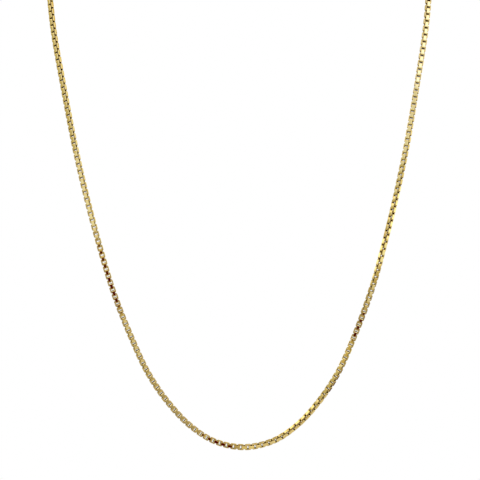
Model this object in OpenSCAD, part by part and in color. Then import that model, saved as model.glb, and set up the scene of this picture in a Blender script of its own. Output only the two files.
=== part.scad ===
// Box chain: a fine necklace of square gold links, one closed loop of about 457 mm, in the form in
// which it hangs, with a plain barrel clasp at the nape.
// X runs across the neck, Y from the front to the nape and Z up. The origin is the middle of the clasp.

/* [Loop] */
// Greatest width of the loop, between the centre lines of its two strands
loop_w = 102.6; // [80:0.2:130]
// Depth of the loop, from the nape to the foremost place of its front, about half-way down
loop_depth = 59.5; // [45:0.5:80]
// Drop of the loop, from the nape to its lowest point
loop_drop = 138.5; // [100:0.2:180]

/* [Chain] */
// Width of the chain across its flat faces
chain_w = 1.5; // [1:0.1:3]
// Width of the flat strip that each link is bent from
strip_w = 0.8; // [0.5:0.05:0.95]

/* [Clasp] */
// Length of the barrel without its eyes
barrel_l = 7; // [5:0.5:12]
// Diameter of the barrel
barrel_d = 2.6; // [2:0.1:5]
// Chamfer round each end of the barrel
barrel_chamfer = 0.4; // [0.1:0.05:0.6]
// Width of the seam round the middle of the barrel
seam_w = 0.3; // [0.2:0.05:0.8]
// Depth of that seam
seam_depth = 0.12; // [0.05:0.01:0.3]
// Thickness of the round wire of an eye
eye_wire_d = 0.45; // [0.3:0.05:0.8]

/* [Fit] */
// Free width that an eye leaves beside the strip of the end link
eye_play = 0.6; // [0.3:0.05:1]
// Gap between an eye and the end of the chain's solid
end_gap = 0.1; // [0.05:0.05:0.3]

/* [Hidden] */

gold = [0.83, 0.69, 0.38];
left = -1;
right = 1;

// An eye's hole, its place on the barrel and the place of the chain's end
eye_hole_d = strip_w + eye_play;
eye_x = (barrel_l + eye_hole_d) / 2;
chain_end_x = eye_x + eye_hole_d / 2 + eye_wire_d + end_gap;

// Half of the loop's centre line, from the lowest point at the front up to the nape. A row is the place
// as shares of half the width, of the depth and of the drop, then the turn of the links' flat faces there,
// in degrees from facing the front, on the left strand and on the right one. The clasp gives the last point.
half_route = [
    [0, -0.8571, -1, 14, 14],
    [0.154, -0.8639, -0.9877, 1, 30],
    [0.2788, -0.8807, -0.9567, -8, 45],
    [0.386, -0.9025, -0.9134, -13, 56],
    [0.4834, -0.9294, -0.8592, -14, 73],
    [0.5712, -0.9613, -0.7877, -11, 88],
    [0.6589, -0.9916, -0.7011, -3, 108],
    [0.7388, -1, -0.5978, 6, 133],
    [0.8265, -0.9697, -0.465, 14, 158],
    [0.9084, -0.9109, -0.309, 25, 179],
    [0.963, -0.8521, -0.1884, 33, 192],
    [0.9747, -0.8269, -0.148, 36, 196],
    [0.9903, -0.7798, -0.0895, 41, 202],
    [1, -0.679, -0.0469, 46, 208],
    [1, -0.5479, -0.0303, 52, 215],
    [0.9513, -0.3832, -0.0209, 60, 226],
    [0.809, -0.2303, -0.0123, 69, 238],
    [0.6023, -0.1143, -0.0058, 79, 250],
    [0.3587, -0.0387, -0.0022, 87, 262]
];
end_turns = [90, 270];

// Drop below the nape at which a strand starts to bend from hanging to lying round the neck, and the
// height over which it does so
shoulder_drop = 0.148 * loop_drop;
shoulder_run = 16;
// Sections that the solid has for each span between two points of the route
sections = 2;

function unit(v) = v / norm(v);

function points(side) = [
    for (row = half_route) [side * row.x * loop_w / 2, row.y * loop_depth, row.z * loop_drop],
    [side * chain_end_x, 0, 0]
];

// Turns of one strand about its own run from the front to the nape
function turns(side) =
    let (column = side == left ? 3 : 4, last = end_turns[column - 3])
    [for (row = half_route) side * row[column], side * last];

// Direction of the curve at point i: level at the lowest point and at the clasp, and in between that of
// the parabola through the point and its two neighbours
function slope(p, i) =
    i == 0 ? [p[1].x / norm(p[1] - p[0]), 0, 0]
    : i == len(p) - 1 ? [-sign(p[i].x), 0, 0]
    : let (back = p[i] - p[i - 1], ahead = p[i + 1] - p[i], a = norm(back), b = norm(ahead))
        (back * b / a + ahead * a / b) / (a + b);

// Place and direction on the smooth curve, at share t of the span that starts at point i
function place(p, i, t) =
    let (d = norm(p[i + 1] - p[i]), s = 1 - t)
    p[i] * (1 + 2 * t) * s * s + p[i + 1] * t * t * (3 - 2 * t)
        + (slope(p, i) * s - slope(p, i + 1) * t) * d * t * s;
function heading(p, i, t) =
    let (d = norm(p[i + 1] - p[i]), s = 1 - t)
    unit(
        (p[i + 1] - p[i]) * 6 * t * s / d
            + slope(p, i) * s * (1 - 3 * t)
            + slope(p, i + 1) * t * (1 - 3 * s)
    );

// The side of the chain that faces the front where it hangs, and up where it lies round the neck
function facing(at, along) =
    let (
        share = min(1, max(0, (at.z + shoulder_drop) / shoulder_run)),
        view = [0, -cos(90 * share), sin(90 * share)]
    )
    unit(view - (view * along) * along);

// One cross-section: a square whose corners are left open by the two crossed strips
function section(at, along, turn) =
    let (
        face = facing(at, along),
        u = face * cos(turn) + cross(along, face) * sin(turn),
        v = cross(along, u),
        h = chain_w / 2,
        f = strip_w / 2,
        corners = [[h, f], [f, h], [-f, h], [-h, f], [-h, -f], [-f, -h], [f, -h], [h, -f]]
    )
    [for (c = corners) at + u * c.x + v * c.y];

module strand(side) {
    p = points(side);
    turn = turns(side);
    spans = len(p) - 1;
    rings = [
        for (k = [0 : spans * sections])
            let (i = min(floor(k / sections), spans - 1), t = k / sections - i)
            section(place(p, i, t), heading(p, i, t), turn[i] * (1 - t) + turn[i + 1] * t)
    ];
    sides = len(rings[0]);
    last = (len(rings) - 1) * sides;
    walls = [
        for (k = [0 : len(rings) - 2], j = [0 : sides - 1])
            let (a = k * sides + j, b = k * sides + (j + 1) % sides)
            each [[a, b + sides, b], [a, a + sides, b + sides]]
    ];
    ends = [[for (j = [0 : sides - 1]) j], [for (j = [sides - 1 : -1 : 0]) last + j]];
    polyhedron([for (ring = rings) each ring], concat(walls, ends));
}

module eye() {
    rotate_extrude($fn = 48)
        translate([(eye_hole_d + eye_wire_d) / 2, 0])
            circle(d = eye_wire_d, $fn = 24);
}

module barrel() {
    r = barrel_d / 2;
    end = barrel_l / 2;
    rotate([0, 90, 0])
        rotate_extrude($fn = 48)
            polygon([
                [0, -end], [r - barrel_chamfer, -end], [r, barrel_chamfer - end],
                [r, -seam_w / 2], [r - seam_depth, 0], [r, seam_w / 2],
                [r, end - barrel_chamfer], [r - barrel_chamfer, end], [0, end]
            ]);
}

module chain_left() {
    color(gold) strand(left);
}

module chain_right() {
    color(gold) strand(right);
}

module clasp() {
    color(gold) {
        barrel();
        for (side = [left, right])
            translate([side * eye_x, 0, 0])
                eye();
    }
}

chain_left();
chain_right();
clasp();
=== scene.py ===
"""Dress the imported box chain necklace: gold box links, barrel clasp, studio and camera.

Everything is in metres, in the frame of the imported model: X runs across the neck, Y from the
front to the nape and Z up, and the origin is the middle of the clasp.
"""

import logging
import math
from dataclasses import dataclass, field
from enum import Enum
from typing import Any, NamedTuple

import bmesh
import bpy
from mathutils import Matrix, Vector


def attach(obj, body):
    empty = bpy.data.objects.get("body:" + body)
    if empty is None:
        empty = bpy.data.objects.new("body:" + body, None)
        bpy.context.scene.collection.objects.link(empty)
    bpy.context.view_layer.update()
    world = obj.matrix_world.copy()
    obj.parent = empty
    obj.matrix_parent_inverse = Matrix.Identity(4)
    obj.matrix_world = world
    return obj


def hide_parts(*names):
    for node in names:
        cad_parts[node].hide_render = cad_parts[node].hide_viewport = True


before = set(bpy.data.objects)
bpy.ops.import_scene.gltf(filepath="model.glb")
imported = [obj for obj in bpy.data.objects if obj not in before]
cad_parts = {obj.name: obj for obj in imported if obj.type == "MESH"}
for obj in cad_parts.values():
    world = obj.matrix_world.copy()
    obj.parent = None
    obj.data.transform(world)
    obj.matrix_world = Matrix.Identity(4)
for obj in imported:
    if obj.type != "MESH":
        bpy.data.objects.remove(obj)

MM = 0.001

# Attributes by which the meshes speak to the nodes: the side that faces the front and the turn of
# the chain there, the tone of a single link, and the share of painted shade and dullness on a face
FACING = "facing"
TURN = "turn"
TONE = "tone"
# This share darkens the inside faces, cut edges and grooves towards near black as painted shade,
# and makes them duller too
SHADE_AND_DULL = "shade_and_dull"

log = logging.getLogger("box_chain")


class Strand(Enum):
    """The two halves of the chain, with the sign of X on which each one hangs."""

    LEFT = -1
    RIGHT = 1


class RouteRow(NamedTuple):
    """One point of half the loop, in millimetres, and the turn of the links there, in degrees."""

    across: float
    back: float
    up: float
    turn_left: float
    turn_right: float

    def turn(self, strand: Strand) -> float:
        """The turn of the links on one strand, in degrees."""
        return self.turn_left if strand is Strand.LEFT else self.turn_right


HALF_ROUTE = (
    RouteRow(0, -51, -138.5, 14, 14),
    RouteRow(7.9, -51.4, -136.8, 1, 30),
    RouteRow(14.3, -52.4, -132.5, -8, 45),
    RouteRow(19.8, -53.7, -126.5, -13, 56),
    RouteRow(24.8, -55.3, -119, -14, 73),
    RouteRow(29.3, -57.2, -109.1, -11, 88),
    RouteRow(33.8, -59, -97.1, -3, 108),
    RouteRow(37.9, -59.5, -82.8, 6, 133),
    RouteRow(42.4, -57.7, -64.4, 14, 158),
    RouteRow(46.6, -54.2, -42.8, 25, 179),
    RouteRow(49.4, -50.7, -26.1, 33, 192),
    RouteRow(50, -49.2, -20.5, 36, 196),
    RouteRow(50.8, -46.4, -12.4, 41, 202),
    RouteRow(51.3, -40.4, -6.5, 46, 208),
    RouteRow(51.3, -32.6, -4.2, 52, 215),
    RouteRow(48.8, -22.8, -2.9, 60, 226),
    RouteRow(41.5, -13.7, -1.7, 69, 238),
    RouteRow(30.9, -6.8, -0.8, 79, 250),
    RouteRow(18.4, -2.3, -0.3, 87, 262),
    RouteRow(5.45, 0, 0, 90, 270),
)


class RoutePoint(NamedTuple):
    """A place on the chain's centre line, with the side that faces the front and the turn there."""

    place: Vector
    facing: Vector
    turn: float


@dataclass(frozen=True)
class HangingRoute:
    """The smooth centre line of the whole loop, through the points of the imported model.

    A strand starts to bend from hanging to lying round the neck shoulder_drop below the nape, and
    lies shoulder_run above that. The end links are end_x from the middle of the clasp. Each span
    between two rows has as many fine points as there are steps.
    """

    rows: tuple[RouteRow, ...] = HALF_ROUTE
    shoulder_drop: float = 20.5 * MM
    shoulder_run: float = 16 * MM
    end_x: float = 5.26 * MM
    steps: int = 16

    def points(self, strand: Strand) -> list[Vector]:
        """The chosen points of one strand, from the lowest point up to the nape."""
        side = strand.value
        return [Vector((side * row.across, row.back, row.up)) * MM for row in self.rows]

    def turn(self, strand: Strand, span: int, share: float) -> float:
        """Turn of the links within a span, in radians.

        Args:
            strand: The strand that is asked about.
            span: Index of the span's first point.
            share: How far along the span, from 0 to 1.

        Returns:
            The turn about the direction from the left end to the right one.
        """
        before = self.rows[span].turn(strand)
        after = self.rows[span + 1].turn(strand)
        return math.radians(before + (after - before) * share)

    @staticmethod
    def slope(points: list[Vector], index: int) -> Vector:
        """Direction of the curve at a chosen point: level at both ends, else a parabola's.

        Args:
            points: The strand's chosen points.
            index: The point that is asked about.

        Returns:
            The direction, a little longer or shorter than one.
        """
        here = points[index]
        if index == 0:
            ahead = points[1] - here
            return Vector((ahead.x / ahead.length, 0, 0))
        if index == len(points) - 1:
            return Vector((-math.copysign(1, here.x), 0, 0))
        back = here - points[index - 1]
        ahead = points[index + 1] - here
        near = back.length
        far = ahead.length
        return (back * far / near + ahead * near / far) / (near + far)

    def place(self, points: list[Vector], span: int, share: float) -> Vector:
        """Place on the smooth curve.

        Args:
            points: The strand's chosen points.
            span: Index of the span's first point.
            share: How far along the span, from 0 to 1.

        Returns:
            The point of the centre line.
        """
        rest = 1 - share
        reach = (points[span + 1] - points[span]).length * share * rest
        start = self.slope(points, span) * rest
        end = self.slope(points, span + 1) * share
        return (
            points[span] * (1 + 2 * share) * rest**2
            + points[span + 1] * (3 - 2 * share) * share**2
            + (start - end) * reach
        )

    def facing(self, place: Vector) -> Vector:
        """The side that faces the front where the chain hangs, and up where it lies on the neck.

        Args:
            place: The place on the centre line.

        Returns:
            The direction of that side, not yet square to the line.
        """
        share = min(1.0, max(0.0, (place.z + self.shoulder_drop) / self.shoulder_run))
        angle = math.radians(90) * share
        return Vector((0, -math.cos(angle), math.sin(angle)))

    def strand(self, strand: Strand) -> list[RoutePoint]:
        """Fine points of one strand, from the lowest point to its end link.

        Args:
            strand: The strand that is asked about.

        Returns:
            The points in their order.
        """
        points = self.points(strand)
        line = []
        for span in range(len(points) - 1):
            for step in range(self.steps):
                share = step / self.steps
                place = self.place(points, span, share)
                line.append(RoutePoint(place, self.facing(place), self.turn(strand, span, share)))
        end = Vector((strand.value * self.end_x, 0, 0))
        line.append(RoutePoint(end, self.facing(end), self.turn(strand, len(points) - 2, 1)))
        return line

    def whole(self) -> list[RoutePoint]:
        """Fine points of the loop, from the left end link round the front to the right one."""
        return self.strand(Strand.LEFT)[:0:-1] + self.strand(Strand.RIGHT)


class Station(NamedTuple):
    """One cross-section of a link's strip: the bends' centres, the way out and the normal."""

    outer: Vector
    inner: Vector
    out: Vector
    normal: Vector


@dataclass(frozen=True)
class BoxLink:
    """One square link bent from a flat strip. It stands in the YZ plane, the chain along Z.

    The strip is as thick as the wall, bends round the corner outside and the inner corner inside,
    and has bevelled outer edges. Its normals lean by the crown. The inside faces get the full
    painted shade, which also dulls them, and the cut edges get the edge share of it. Where a bend
    dips into the chain, the painted shade grows between the two values of groove, which are the
    share of the normal that points along the chain.
    """

    width: float = 1.5 * MM
    length: float = 1.6 * MM
    strip: float = 0.78 * MM
    wall: float = 0.32 * MM
    corner: float = 0.25 * MM
    inner_corner: float = 0.04 * MM
    bevel: float = 0.06 * MM
    crown: float = math.radians(3)
    # Share of painted shade, with dullness, on the cut edges that sit in the slits
    edge_shade_and_dull: float = 0.3
    groove: tuple[float, float] = (0.7, 0.95)
    corner_steps: int = 2

    def centre(self, middle: float, inset: float) -> Vector:
        """Centre of a bend in one corner.

        Args:
            middle: Direction of the corner, in radians.
            inset: How far the centre lies inside the link's outer faces.

        Returns:
            The centre.
        """
        across = math.copysign(self.width / 2 - inset, math.cos(middle))
        along = math.copysign(self.length / 2 - inset, math.sin(middle))
        return Vector((0, across, along))

    def stations(self) -> list[Station]:
        """Stations round the link. The normals lean a little, as the faces are slightly crowned.

        Returns:
            The stations, corner by corner.
        """
        stations = []
        for quarter in range(4):
            middle = math.radians(45 + 90 * quarter)
            outer = self.centre(middle, self.corner)
            inner = self.centre(middle, self.wall + self.inner_corner)
            for step in range(self.corner_steps + 1):
                angle = math.radians(90) * (quarter + step / self.corner_steps)
                lean = angle + self.crown * (1 - 2 * step / self.corner_steps)
                out, normal = (Vector((0, math.cos(way), math.sin(way))) for way in (angle, lean))
                stations.append(Station(outer, inner, out, normal))
        return stations

    def ring(self, station: Station) -> list[Vector]:
        """Corners of the strip at one station, from the inner face round to the outer one.

        Args:
            station: The station.

        Returns:
            The six corners.
        """
        half = Vector((self.strip / 2, 0, 0))
        trim = Vector((self.bevel, 0, 0))
        inside = station.inner + station.out * self.inner_corner
        edge = station.outer + station.out * (self.corner - self.bevel)
        face = station.outer + station.out * self.corner
        return [
            inside - half,
            inside + half,
            edge + half,
            face + half - trim,
            face - half + trim,
            edge - half,
        ]

    def shade_and_dull_share(self, normal: Vector, across: float, outward: float) -> float:
        """How much painted shade and dullness a place gets; it grows into the grooves between
        links.

        Args:
            normal: The station's own normal.
            across: Part of the side's normal that lies across the strip.
            outward: Part of the side's normal that points out of the link.

        Returns:
            The share of painted shade and dullness, from 0 on the polished outside to 1 inside.
        """
        # Inside faces get the full painted shade and dullness; cut edges a part; bends more as they
        # dip into the groove
        if outward < 0:
            return 1.0
        if outward == 0:
            return self.edge_shade_and_dull
        start, end = self.groove
        return min(1.0, max(0.0, (abs(normal.z) - start) / (end - start)))

    @staticmethod
    def side_normals() -> list[tuple[float, float]]:
        """Normals of the strip's six sides: the part across the strip and the part outward."""
        slant = math.sqrt(0.5)
        return [(0, -1), (1, 0), (slant, slant), (0, 1), (-slant, slant), (-1, 0)]

    def mesh(self) -> bpy.types.Mesh:
        """Build the link: smooth round its bends, with crisp edges along the strip.

        Returns:
            A closed mesh with a UV map that runs round the link and across the strip, and with
            the share of painted shade and dullness on its faces.
        """
        shape = bmesh.new()
        stations = self.stations()
        rings = [[shape.verts.new(corner) for corner in self.ring(station)] for station in stations]
        uv = shape.loops.layers.uv.new("strip")
        # Layer of painted shade and dullness, read by the gold material
        shade_and_dull = shape.loops.layers.float.new(SHADE_AND_DULL)
        sides = self.side_normals()
        normals = []
        for i, ring in enumerate(rings):
            after = rings[(i + 1) % len(rings)]
            for j, (across, outward) in enumerate(sides):
                k = (j + 1) % len(sides)
                face = shape.faces.new((ring[j], ring[k], after[k], after[j]))
                face.smooth = True
                places = ((i, j), (i, j + 1), (i + 1, j + 1), (i + 1, j))
                for loop, (turn, side) in zip(face.loops, places):
                    loop[uv].uv = (turn / len(rings), side / len(sides))
                    normal = stations[turn % len(rings)].normal
                    # Painted shade and dullness for this corner of the face
                    loop[shade_and_dull] = self.shade_and_dull_share(normal, across, outward)
                    normals.append(normal * outward + Vector((across, 0, 0)))
        mesh = bpy.data.meshes.new("box_link")
        shape.to_mesh(mesh)
        shape.free()
        mesh.normals_split_custom_set(normals)
        return mesh


class NodeBench:
    """A node tree under construction, with short calls to place and wire its nodes."""

    def __init__(self, tree: bpy.types.NodeTree) -> None:
        """Start on an empty tree."""
        self.tree = tree

    @staticmethod
    def socket(sockets: Any, key: str | int | None = None) -> bpy.types.NodeSocket:
        """Find a socket among those that are in use.

        Args:
            sockets: A node's inputs or outputs.
            key: The socket's name or its place among those in use. None is the first one.

        Returns:
            The socket.
        """
        used = [socket for socket in sockets if socket.enabled]
        if isinstance(key, str):
            return next(socket for socket in used if socket.name == key)
        return used[key or 0]

    def add(
        self, kind: str, values: dict[Any, Any] | None = None, **options: Any
    ) -> bpy.types.Node:
        """Place one node.

        Args:
            kind: The node's type name.
            values: Values or sockets for its inputs, by the input's name or place.
            options: Properties of the node.

        Returns:
            The new node.
        """
        node = self.tree.nodes.new(kind)
        for name, option in options.items():
            setattr(node, name, option)
        for key, value in (values or {}).items():
            target = self.socket(node.inputs, key)
            if isinstance(value, bpy.types.NodeSocket):
                self.tree.links.new(value, target)
            else:
                target.default_value = value
        return node

    def get(
        self,
        kind: str,
        values: dict[Any, Any] | None = None,
        result: str | None = None,
        **options: Any,
    ) -> bpy.types.NodeSocket:
        """Place one node and give one of its results.

        Args:
            kind: The node's type name.
            values: Values or sockets for its inputs, by the input's name or place.
            result: Name of the result. None is the first one.
            options: Properties of the node.

        Returns:
            The output socket.
        """
        return self.socket(self.add(kind, values, **options).outputs, result)

    def math(self, operation: str, *terms: Any) -> bpy.types.NodeSocket:
        """The result of a Math node on values or sockets."""
        return self.get("ShaderNodeMath", dict(enumerate(terms)), operation=operation)

    def mix(self, share: Any, first: Any, second: Any) -> bpy.types.NodeSocket:
        """A blend of two numbers."""
        return self.get("ShaderNodeMix", {"Factor": share, "A": first, "B": second})

    def tint(self, share: Any, first: Any, second: Any) -> bpy.types.NodeSocket:
        """A blend of two colours.

        Args:
            share: How much of the second colour there is, from 0 to 1.
            first: The first colour, a socket or three numbers.
            second: The second colour, a socket or three numbers.

        Returns:
            The blend.
        """
        ends = [c if isinstance(c, bpy.types.NodeSocket) else (*c, 1) for c in (first, second)]
        values = {"Factor": share, "A": ends[0], "B": ends[1]}
        return self.get("ShaderNodeMix", values, data_type="RGBA")


@dataclass
class LinkArray:
    """Geometry Nodes that hang one link on each step of a line, every second one turned by 90°."""

    link: bpy.types.Object
    finish: bpy.types.Material
    count: int
    jitter: float = math.radians(1.0)
    seed: int = 7
    tree: bpy.types.NodeTree = field(init=False)

    def __post_init__(self) -> None:
        """Build the node tree once, for every strand."""
        self.tree = bpy.data.node_groups.new("box_chain_links", "GeometryNodeTree")
        face = self.tree.interface
        for name, kind in (
            ("Line", "NodeSocketGeometry"),
            ("Link", "NodeSocketObject"),
            ("Count", "NodeSocketInt"),
            ("First link", "NodeSocketInt"),
            ("Last link", "NodeSocketInt"),
            ("Jitter", "NodeSocketFloat"),
            ("Seed", "NodeSocketInt"),
            ("Finish", "NodeSocketMaterial"),
        ):
            face.new_socket(name, in_out="INPUT", socket_type=kind)
        face.new_socket("Links", in_out="OUTPUT", socket_type="NodeSocketGeometry")
        self.wire()

    def wire(self) -> None:
        """Wire the tree from the line to the realized links in their finish."""
        bench = NodeBench(self.tree)
        given = bench.add("NodeGroupInput").outputs
        index = bench.get("GeometryNodeInputIndex")
        line = bench.get("GeometryNodeMeshToCurve", {"Mesh": given["Line"]})
        model = bench.get("GeometryNodeObjectInfo", {"Object": given["Link"]}, "Geometry")
        steps = bench.get("GeometryNodeResampleCurve", {"Curve": line, "Count": given["Count"]})
        instances = bench.get(
            "GeometryNodeInstanceOnPoints",
            {
                "Points": steps,
                "Selection": self.chosen(bench, index, given),
                "Instance": model,
                "Rotation": self.rotation(bench, index, given),
            },
        )
        tone = bench.get("FunctionNodeRandomValue", {"ID": index, "Seed": given["Seed"]})
        toned = bench.get(
            "GeometryNodeStoreNamedAttribute",
            {"Geometry": instances, "Name": TONE, "Value": tone},
            domain="INSTANCE",
        )
        real = bench.get("GeometryNodeRealizeInstances", {"Geometry": toned})
        finish = given["Finish"]
        dressed = bench.get("GeometryNodeSetMaterial", {"Geometry": real, "Material": finish})
        bench.add("NodeGroupOutput", {"Links": dressed})

    @staticmethod
    def chosen(bench: NodeBench, index: bpy.types.NodeSocket, given: Any) -> bpy.types.NodeSocket:
        """Whether a step is one of the piece's own, from its first link to its last.

        Args:
            bench: The tree's bench.
            index: Index of the step.
            given: The tree's input sockets.

        Returns:
            The choice.
        """
        limits = [
            bench.get(
                "FunctionNodeCompare",
                {"A": index, "B": given[name]},
                data_type="INT",
                operation=test,
            )
            for name, test in (("First link", "GREATER_EQUAL"), ("Last link", "LESS_EQUAL"))
        ]
        return bench.get("FunctionNodeBooleanMath", dict(enumerate(limits)))

    @staticmethod
    def rotation(bench: NodeBench, index: bpy.types.NodeSocket, given: Any) -> bpy.types.NodeSocket:
        """Stand a link along the line, turned to its face and by 90° at every second step.

        Args:
            bench: The tree's bench.
            index: Index of the step.
            given: The tree's input sockets.

        Returns:
            The link's rotation.
        """
        named = "GeometryNodeInputNamedAttribute"
        facing = bench.get(named, {"Name": FACING}, data_type="FLOAT_VECTOR")
        turn = bench.get(named, {"Name": TURN}, data_type="FLOAT")
        stand = bench.get(
            "FunctionNodeAxesToRotation",
            {"Primary Axis": bench.get("GeometryNodeInputTangent"), "Secondary Axis": facing},
            primary_axis="Z",
            secondary_axis="X",
        )
        odd = bench.math("MULTIPLY", bench.math("MODULO", index, 2), math.radians(90))
        loose = bench.get(
            "FunctionNodeRandomValue",
            {
                "Min": bench.math("MULTIPLY", given["Jitter"], -1),
                "Max": given["Jitter"],
                "ID": index,
                "Seed": given["Seed"],
            },
        )
        angle = bench.math("ADD", bench.math("ADD", turn, odd), loose)
        spin = bench.get("FunctionNodeAxisAngleToRotation", {"Axis": (0, 0, 1), "Angle": angle})
        return bench.get("FunctionNodeRotateRotation", {0: stand, 1: spin}, rotation_space="LOCAL")

    def build(self, name: str, line: bpy.types.Mesh, first: int, last: int) -> bpy.types.Object:
        """Run the nodes on a line and keep the links as one plain mesh.

        Args:
            name: Name of the finished piece.
            line: The centre line, with its facing and turn on every point.
            first: Index of the piece's first link.
            last: Index of its last link.

        Returns:
            The finished piece.
        """
        carrier = bpy.data.objects.new(name + "_line", line)
        bpy.context.scene.collection.objects.link(carrier)
        nodes = carrier.modifiers.new("links", "NODES")
        nodes.node_group = self.tree
        values = {
            "Link": self.link,
            "Count": self.count,
            "First link": first,
            "Last link": last,
            "Jitter": self.jitter,
            "Seed": self.seed,
            "Finish": self.finish,
        }
        for socket in self.tree.interface.items_tree:
            if socket.name in values:
                nodes[socket.identifier] = values[socket.name]
        graph = bpy.context.evaluated_depsgraph_get()
        mesh = bpy.data.meshes.new_from_object(carrier.evaluated_get(graph), depsgraph=graph)
        mesh.name = name
        carrier.modifiers.remove(nodes)
        bpy.data.objects.remove(carrier)
        piece = bpy.data.objects.new(name, mesh)
        bpy.context.scene.collection.objects.link(piece)
        return piece


@dataclass(frozen=True)
class PolishedGold:
    """Polished yellow gold with fine wear: a warm metal, a little cloudy, with hairline marks.

    The tint drifts between deep and pale, and the roughness between its two values. Faces marked
    for painted shade take a near-black colour, which is painted shade in the hollows between links,
    and their own roughness, and they lose their polish dull_speed times as fast as they darken.
    """

    name: str = "polished_gold"
    deep: tuple[float, float, float] = (0.9, 0.7, 0.32)
    pale: tuple[float, float, float] = (0.95, 0.78, 0.41)
    roughness: tuple[float, float] = (0.06, 0.12)
    # Near-black colour of the painted shade in the link insides, edges and grooves
    shade_and_dull: tuple[float, float, float] = (0.07, 0.03, 0.004)
    dull_roughness: float = 0.5
    dull_speed: float = 6.0
    cloud_scale: float = 900.0
    cloud_detail: float = 3.0
    hairline_scale: float = 9000.0
    hairline_detail: float = 2.0
    hairline_bend: float = 1.5
    hairline_strength: float = 0.5
    hairline_depth: float = 1.5e-6

    def material(self) -> bpy.types.Material:
        """Build the material.

        Returns:
            A metal whose tint and gloss drift over the surface and from link to link. Faces that
            are marked as raw are dull and dark, as no polish reaches them.
        """
        material = bpy.data.materials.new(self.name)
        material.use_nodes = True
        material.node_tree.nodes.clear()
        bench = NodeBench(material.node_tree)
        place = bench.get("ShaderNodeTexCoord", result="Object")
        cloud = bench.get(
            "ShaderNodeTexNoise",
            {"Vector": place, "Scale": self.cloud_scale, "Detail": self.cloud_detail},
        )
        tone = bench.get("ShaderNodeAttribute", result="Fac", attribute_name=TONE)
        # The share of painted shade and dullness stored on the links
        shade_and_dull = bench.get("ShaderNodeAttribute", result="Fac", attribute_name=SHADE_AND_DULL)
        drift = bench.math("MULTIPLY", bench.math("ADD", cloud, tone), 0.5)
        low, high = self.roughness
        polish = bench.get("ShaderNodeMapRange", {"Value": cloud, "To Min": low, "To Max": high})
        dull = bench.math("MULTIPLY", shade_and_dull, self.dull_speed)
        hairs = bench.get(
            "ShaderNodeTexNoise",
            {
                "Vector": place,
                "Scale": self.hairline_scale,
                "Detail": self.hairline_detail,
                "Distortion": self.hairline_bend,
            },
        )
        marks = bench.get(
            "ShaderNodeBump",
            {"Height": hairs, "Strength": self.hairline_strength, "Distance": self.hairline_depth},
        )
        metal = bench.get(
            "ShaderNodeBsdfPrincipled",
            {
                # The base colour fades to the near-black painted shade where the share is high
                "Base Color": bench.tint(shade_and_dull, bench.tint(drift, self.deep, self.pale), self.shade_and_dull),
                "Metallic": 1.0,
                "Roughness": bench.mix(dull, polish, self.dull_roughness),
                "Normal": marks,
            },
        )
        bench.add("ShaderNodeOutputMaterial", {"Surface": metal})
        return material


@dataclass(frozen=True)
class FloorPaint:
    """Matt pale paint, a touch cool against the warm light."""

    name: str = "pale_floor"
    colour: tuple[float, float, float] = (0.74, 0.78, 0.9)
    roughness: float = 0.9

    def material(self) -> bpy.types.Material:
        """Build the material.

        Returns:
            The paint.
        """
        material = bpy.data.materials.new(self.name)
        material.use_nodes = True
        paint = material.node_tree.nodes["Principled BSDF"]
        paint.inputs["Base Color"].default_value = (*self.colour, 1)
        paint.inputs["Roughness"].default_value = self.roughness
        return material


@dataclass
class LinkChain:
    """The chain itself: square links of flat strip, in two pieces that interlock at the front."""

    route: HangingRoute
    link: BoxLink
    finish: bpy.types.Material
    count: int = 471
    nodes: tuple[str, str] = ("chain_left", "chain_right")

    def line(self) -> bpy.types.Mesh:
        """The centre line as a mesh of edges that carries the facing and the turn.

        Returns:
            A mesh with one vertex for each fine point of the route.
        """
        points = self.route.whole()
        mesh = bpy.data.meshes.new("centre_line")
        edges = [(i, i + 1) for i in range(len(points) - 1)]
        mesh.from_pydata([point.place for point in points], edges, [])
        facing = mesh.attributes.new(FACING, "FLOAT_VECTOR", "POINT")
        facing.data.foreach_set("vector", [value for point in points for value in point.facing])
        turn = mesh.attributes.new(TURN, "FLOAT", "POINT")
        turn.data.foreach_set("value", [point.turn for point in points])
        return mesh

    def build(self) -> list[bpy.types.Object]:
        """Hang the links on the line, the left piece and the right one.

        Returns:
            The two finished pieces.
        """
        model = bpy.data.objects.new("box_link", self.link.mesh())
        array = LinkArray(model, self.finish, self.count)
        line = self.line()
        half = self.count // 2
        pieces = [
            array.build("box_links_left", line, 0, half),
            array.build("box_links_right", line, half + 1, self.count - 1),
        ]
        bpy.data.objects.remove(model)
        return pieces

    def dress(self, pieces: list[bpy.types.Object]) -> None:
        """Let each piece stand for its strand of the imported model.

        Args:
            pieces: The two finished pieces, the left one first.
        """
        for piece, node in zip(pieces, self.nodes):
            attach(piece, "root")
            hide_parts(node)


@dataclass
class BarrelClasp:
    """The clasp at the nape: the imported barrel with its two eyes, in polished gold."""

    finish: bpy.types.Material
    node: str = "clasp"

    def dress(self) -> bpy.types.Object:
        """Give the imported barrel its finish.

        Returns:
            The clasp's own object.
        """
        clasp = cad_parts[self.node]
        clasp.data.materials.clear()
        clasp.data.materials.append(self.finish)
        return clasp


@dataclass(frozen=True)
class Panel:
    """One soft-edged panel of the studio's light, or a dark one. All angles are in degrees.

    Azimuth 0 is the side of the camera and 90 the right of the picture. The light fades out over
    the angle soft, outside the half width and the half height.
    """

    azimuth: float
    elevation: float
    half_width: float
    half_height: float
    soft: float
    light: tuple[float, float, float]


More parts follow.
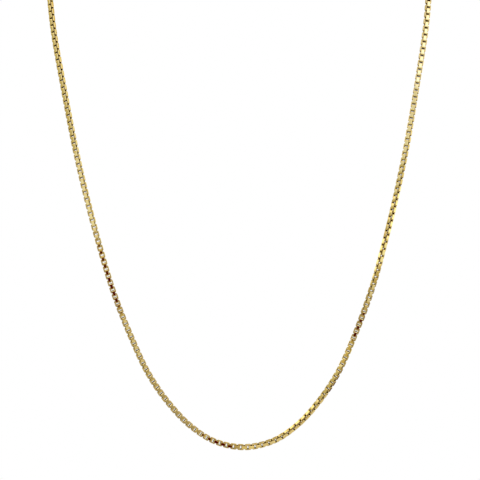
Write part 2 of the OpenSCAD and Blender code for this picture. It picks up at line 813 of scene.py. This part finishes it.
@dataclass
class Studio:
    """A pale round floor among soft panels of white and warm light, with a dark one in front.

    Round the panels the light goes from the ground's, below, to the sky's, above, between the two
    elevations of dusk, which are in degrees.
    """

    floor_paint: FloorPaint = FloorPaint()
    floor_z: float = -0.26
    floor_radius: float = 0.2
    floor_sides: int = 96
    ground: tuple[float, float, float] = (0.45, 0.39, 0.18)
    sky: tuple[float, float, float] = (0.9, 0.73, 0.28)
    dusk: tuple[float, float] = (-50, 60)
    panels: tuple[Panel, ...] = (
        Panel(-155, 10, 35, 40, 15, (0.45, 0.38, 0.15)),
        Panel(150, -28, 40, 26, 12, (0.1, 0.02, 0.0)),
        Panel(150, 5, 28, 12, 8, (0.85, 0.75, 0.25)),
        Panel(5, 46, 60, 9, 8, (1.4, 1.3, 1.15)),
        Panel(-98, 28, 34, 14, 9, (1.4, 1.35, 1.0)),
        Panel(-30, 24, 32, 9, 6, (0.75, 0.8, 0.8)),
        Panel(32, 27, 27, 8, 6, (1.3, 1.45, 1.75)),
        Panel(40, 11, 36, 6, 4, (0.85, 0.95, 1.05)),
        Panel(-30, 4, 12, 6, 5, (0.85, 0.9, 0.85)),
        Panel(-66, 4, 27, 15, 6, (0.55, 0.52, 0.3)),
        Panel(90, -2, 30, 10, 6, (1.5, 1.45, 1.1)),
        Panel(0, 7, 7, 3, 3, (0.9, 1.0, 1.3)),
        Panel(26, 0, 8, 6, 4, (0.4, 0.36, 0.25)),
        Panel(-10, -29, 30, 6, 5, (0.5, 0.45, 0.3)),
        Panel(30, -17, 9, 6, 4, (0.72, 0.72, 0.62)),
        Panel(72, -19, 10, 9, 5, (0.95, 1.0, 0.8)),
        Panel(0, -12, 12, 9, 5, (0.08, 0.0, 0.0)),
        Panel(-40, -48, 50, 13, 8, (0.8, 0.74, 0.42)),
    )

    def world(self) -> bpy.types.World:
        """The light from all round, with white behind the object for the camera.

        Returns:
            The scene's world.
        """
        world = bpy.data.worlds.new("studio")
        world.use_nodes = True
        world.node_tree.nodes.clear()
        bench = NodeBench(world.node_tree)
        look = bench.get("ShaderNodeTexCoord", result="Generated")
        axes = {axis: bench.get("ShaderNodeSeparateXYZ", {0: look}, axis) for axis in "XYZ"}
        toward = bench.math("MULTIPLY", axes["Y"], -1)
        azimuth = bench.math("DEGREES", bench.math("ARCTAN2", axes["X"], toward))
        elevation = bench.math("DEGREES", bench.math("ARCSINE", axes["Z"]))
        light = bench.tint(self.fade(bench, elevation, *self.dusk), self.ground, self.sky)
        for panel in self.panels:
            light = self.add_panel(bench, azimuth, elevation, light, panel)
        seen = bench.get("ShaderNodeLightPath", result="Is Camera Ray")
        backdrop = bench.get("ShaderNodeBackground", {"Color": bench.tint(seen, light, (1, 1, 1))})
        bench.add("ShaderNodeOutputWorld", {"Surface": backdrop})
        return world

    @staticmethod
    def fade(bench: NodeBench, value: Any, start: float, end: float) -> bpy.types.NodeSocket:
        """A soft step from 0 at the start to 1 at the end.

        Args:
            bench: The world's bench.
            value: The socket that is measured.
            start: Where the step begins.
            end: Where it is full.

        Returns:
            The share, from 0 to 1.
        """
        return bench.get(
            "ShaderNodeMapRange",
            {"Value": value, "From Min": start, "From Max": end},
            interpolation_type="SMOOTHSTEP",
        )

    @classmethod
    def add_panel(
        cls, bench: NodeBench, azimuth: Any, elevation: Any, light: Any, panel: Panel
    ) -> bpy.types.NodeSocket:
        """Fade the light to a panel's own inside the panel.

        Args:
            bench: The world's bench.
            azimuth: The azimuth that is looked in.
            elevation: The elevation that is looked in.
            light: The light so far.
            panel: The panel.

        Returns:
            The light with the panel in it.
        """
        aside = bench.math("WRAP", bench.math("SUBTRACT", azimuth, panel.azimuth), 180, -180)
        above = bench.math("SUBTRACT", elevation, panel.elevation)
        shares = [
            cls.fade(bench, bench.math("ABSOLUTE", angle), half + panel.soft, half)
            for angle, half in ((aside, panel.half_width), (above, panel.half_height))
        ]
        return bench.tint(bench.math("MULTIPLY", *shares), light, panel.light)

    def floor(self) -> bpy.types.Object:
        """A plain pale round floor under the hanging chain.

        Returns:
            The floor.
        """
        shape = bmesh.new()
        bmesh.ops.create_circle(
            shape,
            cap_ends=True,
            segments=self.floor_sides,
            radius=self.floor_radius,
            matrix=Matrix.Translation((0, 0, self.floor_z)),
        )
        mesh = bpy.data.meshes.new("floor")
        shape.to_mesh(mesh)
        shape.free()
        mesh.materials.append(self.floor_paint.material())
        floor = bpy.data.objects.new("floor", mesh)
        bpy.context.scene.collection.objects.link(floor)
        return floor

    def build(self) -> None:
        """Set the light, the floor and a plain view of the colours."""
        scene = bpy.context.scene
        scene.world = self.world()
        scene.view_settings.view_transform = "Standard"
        self.floor()


@dataclass(frozen=True)
class PhotoCamera:
    """A level camera straight in front of the hanging part, a little tipped about its own view.

    The frame is as wide as frame_width at the target's distance. The sensor is in millimetres, as
    Blender has it, and the roll is in degrees.
    """

    target: Vector = Vector((-0.54 * MM, -50 * MM, -83.8 * MM))
    distance: float = 1.0
    frame_width: float = 126.86 * MM
    sensor: float = 36.0
    roll: float = -0.613

    def build(self) -> bpy.types.Object:
        """Place the camera and make it the scene's own.

        Returns:
            The camera.
        """
        data = bpy.data.cameras.new("camera")
        data.sensor_width = self.sensor
        data.lens = self.sensor * self.distance / self.frame_width
        camera = bpy.data.objects.new("camera", data)
        level = Matrix.Rotation(math.radians(90), 4, "X")
        tipped = Matrix.Rotation(math.radians(self.roll), 4, "Z")
        back = Matrix.Translation(self.target - Vector((0, self.distance, 0)))
        camera.matrix_world = back @ level @ tipped
        bpy.context.scene.collection.objects.link(camera)
        bpy.context.scene.camera = camera
        return camera


def report(piece: bpy.types.Object) -> None:
    """Say how fine a finished piece is."""
    piece.data.calc_loop_triangles()
    log.info("%s: %d triangles", piece.name, len(piece.data.loop_triangles))


def main() -> None:
    """Build the camera, the light, the chain and the clasp, and log how fine each piece is."""
    logging.basicConfig(level=logging.INFO, format="%(name)s: %(message)s")
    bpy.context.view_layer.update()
    PhotoCamera().build()
    Studio().build()
    gold = PolishedGold().material()
    chain = LinkChain(HangingRoute(), BoxLink(), gold)
    links = chain.build()
    chain.dress(links)
    clasp = BarrelClasp(gold).dress()
    for piece in (*links, clasp):
        report(piece)


if __name__ == "__main__":
    main()
